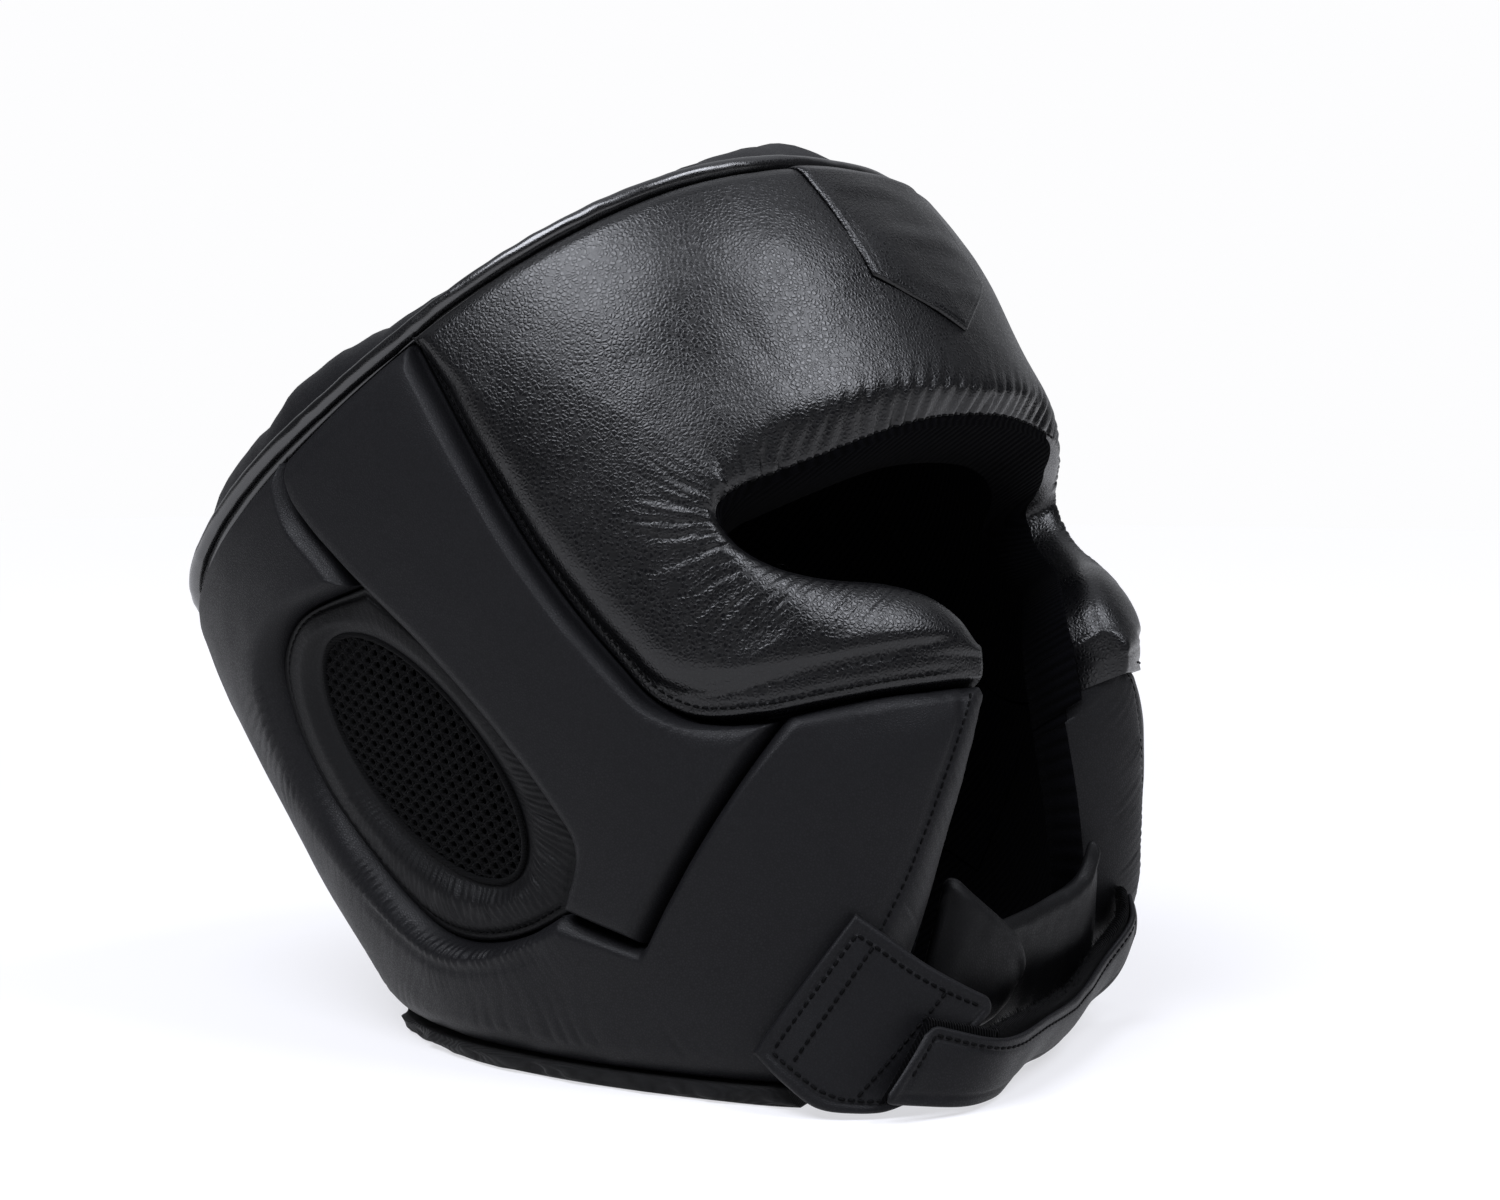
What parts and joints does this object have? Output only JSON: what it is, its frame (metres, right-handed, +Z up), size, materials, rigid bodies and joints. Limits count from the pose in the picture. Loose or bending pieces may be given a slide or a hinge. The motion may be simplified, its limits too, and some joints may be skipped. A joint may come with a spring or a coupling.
{
  "type": "padded leather headguard",
  "caption": "Padded black leather sparring headguard with cheek panels, mesh ear windows, soft crown and a chin strap closed in front, standing on its lower edge.",
  "frame": {"origin": "middle of the bounding box, on the floor that the lower binding stands on", "axes": "+Z up from the floor, -Y the way the face points, +X towards the wearer's left"},
  "size_m": [0.2166, 0.2738, 0.2416],
  "materials": {
    "grained_leather": "semi-gloss pebble grain",
    "smooth_leather": "matt fine grain",
    "lining_cloth": "ribbed knit",
    "spacer_mesh": "open knit mesh",
    "edge_tape": "matt woven tape"
  },
  "bodies": {
    "root": {"face_panel": "grained_leather", "brow_patch": "smooth_leather", "side_panel_right": "smooth_leather", "side_panel_left": "smooth_leather", "jaw_panel_right": "smooth_leather", "jaw_panel_left": "smooth_leather", "ear_ring_right": "smooth_leather", "ear_ring_left": "smooth_leather", "ear_mesh_right": "spacer_mesh", "ear_mesh_left": "spacer_mesh", "lining": "lining_cloth", "crown": "smooth_leather", "rim_binding": "grained_leather", "foot_binding": "edge_tape", "chin_tab": "smooth_leather", "chin_strap": "smooth_leather", "chin_wing_right": "smooth_leather", "chin_wing_left": "smooth_leather"}
  },
  "joints": []
}
